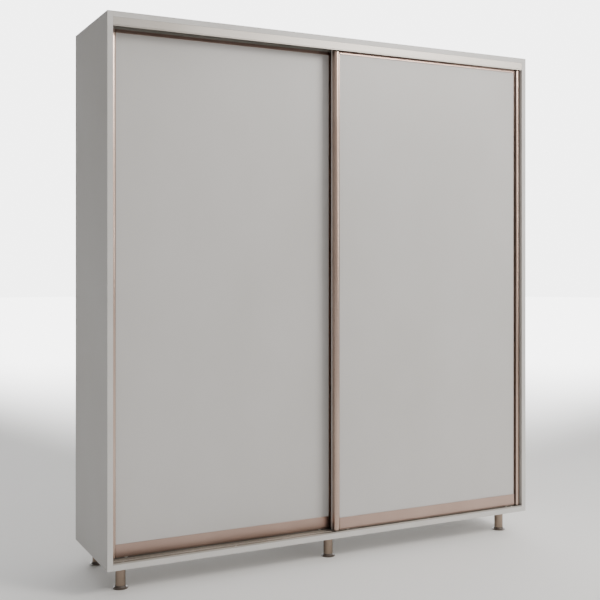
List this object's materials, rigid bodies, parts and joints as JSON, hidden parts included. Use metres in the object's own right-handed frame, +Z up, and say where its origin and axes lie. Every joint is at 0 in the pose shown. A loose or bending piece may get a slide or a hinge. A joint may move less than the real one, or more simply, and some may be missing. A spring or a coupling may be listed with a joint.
{
  "type": "sliding door wardrobe",
  "caption": "Tall wardrobe with framed sliding doors on a double track, shelves, a hanging rail and levelling feet on round legs.",
  "frame": {"origin": "on the floor, in the middle of the footprint", "axes": "+Z up, +X to the right seen from the front, the doors face -Y"},
  "size_m": [2, 0.49, 2.22],
  "materials": {
    "grey_board": "melamine-faced chipboard, satin warm grey",
    "door_board": "melamine-faced board, satin light warm grey",
    "back_board": "thin hardboard, painted light grey",
    "champagne_aluminium": "satin champagne anodised aluminium",
    "track_aluminium": "satin anodised aluminium",
    "leg_metal": "steel tube with a warm nickel finish",
    "foot_plastic": "moulded plastic, dark",
    "chromed_tube": "chromed steel tube",
    "zinc_casting": "zinc die casting",
    "zinc_screws": "zinc plated steel",
    "bracket_steel": "zinc plated pressed steel",
    "roller_nylon": "moulded nylon",
    "brush_pile": "grey polypropylene pile",
    "stop_rubber": "dark moulded rubber"
  },
  "bodies": {
    "carcass": {"left_side_panel": "grey_board", "right_side_panel": "grey_board", "top_panel": "grey_board", "bottom_panel": "grey_board", "back_panel_left": "back_board", "back_panel_right": "back_board", "centre_divider": "grey_board", "hat_shelf_left": "grey_board", "hat_shelf_right": "grey_board", "lower_shelf": "grey_board", "middle_shelf": "grey_board", "upper_shelf": "grey_board", "clothes_rail": "chromed_tube", "rail_sockets": "zinc_casting", "shelf_pins": "zinc_casting", "cam_fittings": "zinc_casting", "back_panel_screws": "zinc_screws", "top_track": "track_aluminium", "bottom_track": "track_aluminium", "track_screws": "zinc_screws", "track_stops": "stop_rubber", "leg_screws": "zinc_screws", "front_left_leg": "leg_metal", "front_centre_leg": "leg_metal", "front_right_leg": "leg_metal", "rear_left_leg": "leg_metal", "rear_centre_leg": "leg_metal", "rear_right_leg": "leg_metal"},
    "front_left_foot": {"front_left_foot": "foot_plastic"},
    "front_centre_foot": {"front_centre_foot": "foot_plastic"},
    "front_right_foot": {"front_right_foot": "foot_plastic"},
    "rear_left_foot": {"rear_left_foot": "foot_plastic"},
    "rear_centre_foot": {"rear_centre_foot": "foot_plastic"},
    "rear_right_foot": {"rear_right_foot": "foot_plastic"},
    "left_door": {"left_door_panel": "door_board", "left_door_left_stile": "champagne_aluminium", "left_door_right_stile": "champagne_aluminium", "left_door_top_rail": "champagne_aluminium", "left_door_bottom_rail": "champagne_aluminium", "left_door_brush_seals": "brush_pile", "left_door_frame_screws": "zinc_screws", "left_door_roller_brackets": "bracket_steel", "left_door_guide_brackets": "bracket_steel"},
    "left_door_roller_left": {"left_door_roller_left": "roller_nylon"},
    "left_door_guide_wheel_left": {"left_door_guide_wheel_left": "roller_nylon"},
    "left_door_roller_right": {"left_door_roller_right": "roller_nylon"},
    "left_door_guide_wheel_right": {"left_door_guide_wheel_right": "roller_nylon"},
    "right_door": {"right_door_panel": "door_board", "right_door_left_stile": "champagne_aluminium", "right_door_right_stile": "champagne_aluminium", "right_door_top_rail": "champagne_aluminium", "right_door_bottom_rail": "champagne_aluminium", "right_door_brush_seals": "brush_pile", "right_door_frame_screws": "zinc_screws", "right_door_roller_brackets": "bracket_steel", "right_door_guide_brackets": "bracket_steel"},
    "right_door_roller_left": {"right_door_roller_left": "roller_nylon"},
    "right_door_guide_wheel_left": {"right_door_guide_wheel_left": "roller_nylon"},
    "right_door_roller_right": {"right_door_roller_right": "roller_nylon"},
    "right_door_guide_wheel_right": {"right_door_guide_wheel_right": "roller_nylon"}
  },
  "joints": [
    {"name": "left_door_slide", "type": "slide", "parent": "carcass", "child": "left_door", "axis": [1, 0, 0], "range_m": [0, 0.96]},
    {"name": "left_door_roller_left_spin", "type": "hinge", "parent": "left_door", "child": "left_door_roller_left", "pos_m": [-0.906, -0.17, 0.1393], "axis": [0, 1, 0], "continuous": true},
    {"name": "left_door_guide_wheel_left_spin", "type": "hinge", "parent": "left_door", "child": "left_door_guide_wheel_left", "pos_m": [-0.906, -0.17, 2.1825], "axis": [0, 0, 1], "continuous": true},
    {"name": "left_door_roller_right_spin", "type": "hinge", "parent": "left_door", "child": "left_door_roller_right", "pos_m": [-0.056, -0.17, 0.1393], "axis": [0, 1, 0], "continuous": true},
    {"name": "left_door_guide_wheel_right_spin", "type": "hinge", "parent": "left_door", "child": "left_door_guide_wheel_right", "pos_m": [-0.056, -0.17, 2.1825], "axis": [0, 0, 1], "continuous": true},
    {"name": "right_door_slide", "type": "slide", "parent": "carcass", "child": "right_door", "axis": [1, 0, 0], "range_m": [-0.96, 0]},
    {"name": "right_door_roller_left_spin", "type": "hinge", "parent": "right_door", "child": "right_door_roller_left", "pos_m": [0.056, -0.216, 0.1393], "axis": [0, 1, 0], "continuous": true},
    {"name": "right_door_guide_wheel_left_spin", "type": "hinge", "parent": "right_door", "child": "right_door_guide_wheel_left", "pos_m": [0.056, -0.216, 2.1825], "axis": [0, 0, 1], "continuous": true},
    {"name": "right_door_roller_right_spin", "type": "hinge", "parent": "right_door", "child": "right_door_roller_right", "pos_m": [0.906, -0.216, 0.1393], "axis": [0, 1, 0], "continuous": true},
    {"name": "right_door_guide_wheel_right_spin", "type": "hinge", "parent": "right_door", "child": "right_door_guide_wheel_right", "pos_m": [0.906, -0.216, 2.1825], "axis": [0, 0, 1], "continuous": true},
    {"name": "front_left_foot_level", "type": "slide", "parent": "carcass", "child": "front_left_foot", "axis": [0, 0, -1], "range_m": [0, 0.015]},
    {"name": "front_centre_foot_level", "type": "slide", "parent": "carcass", "child": "front_centre_foot", "axis": [0, 0, -1], "range_m": [0, 0.015]},
    {"name": "front_right_foot_level", "type": "slide", "parent": "carcass", "child": "front_right_foot", "axis": [0, 0, -1], "range_m": [0, 0.015]},
    {"name": "rear_left_foot_level", "type": "slide", "parent": "carcass", "child": "rear_left_foot", "axis": [0, 0, -1], "range_m": [0, 0.015]},
    {"name": "rear_centre_foot_level", "type": "slide", "parent": "carcass", "child": "rear_centre_foot", "axis": [0, 0, -1], "range_m": [0, 0.015]},
    {"name": "rear_right_foot_level", "type": "slide", "parent": "carcass", "child": "rear_right_foot", "axis": [0, 0, -1], "range_m": [0, 0.015]}
  ],
  "couplings": [
    {"joint": "left_door_roller_left_spin", "follows": "left_door_slide", "rad_per_m": 83.333},
    {"joint": "left_door_guide_wheel_left_spin", "follows": "left_door_slide", "rad_per_m": -83.333},
    {"joint": "left_door_roller_right_spin", "follows": "left_door_slide", "rad_per_m": 83.333},
    {"joint": "left_door_guide_wheel_right_spin", "follows": "left_door_slide", "rad_per_m": -83.333},
    {"joint": "right_door_roller_left_spin", "follows": "right_door_slide", "rad_per_m": 83.333},
    {"joint": "right_door_guide_wheel_left_spin", "follows": "right_door_slide", "rad_per_m": -83.333},
    {"joint": "right_door_roller_right_spin", "follows": "right_door_slide", "rad_per_m": 83.333},
    {"joint": "right_door_guide_wheel_right_spin", "follows": "right_door_slide", "rad_per_m": -83.333}
  ]
}
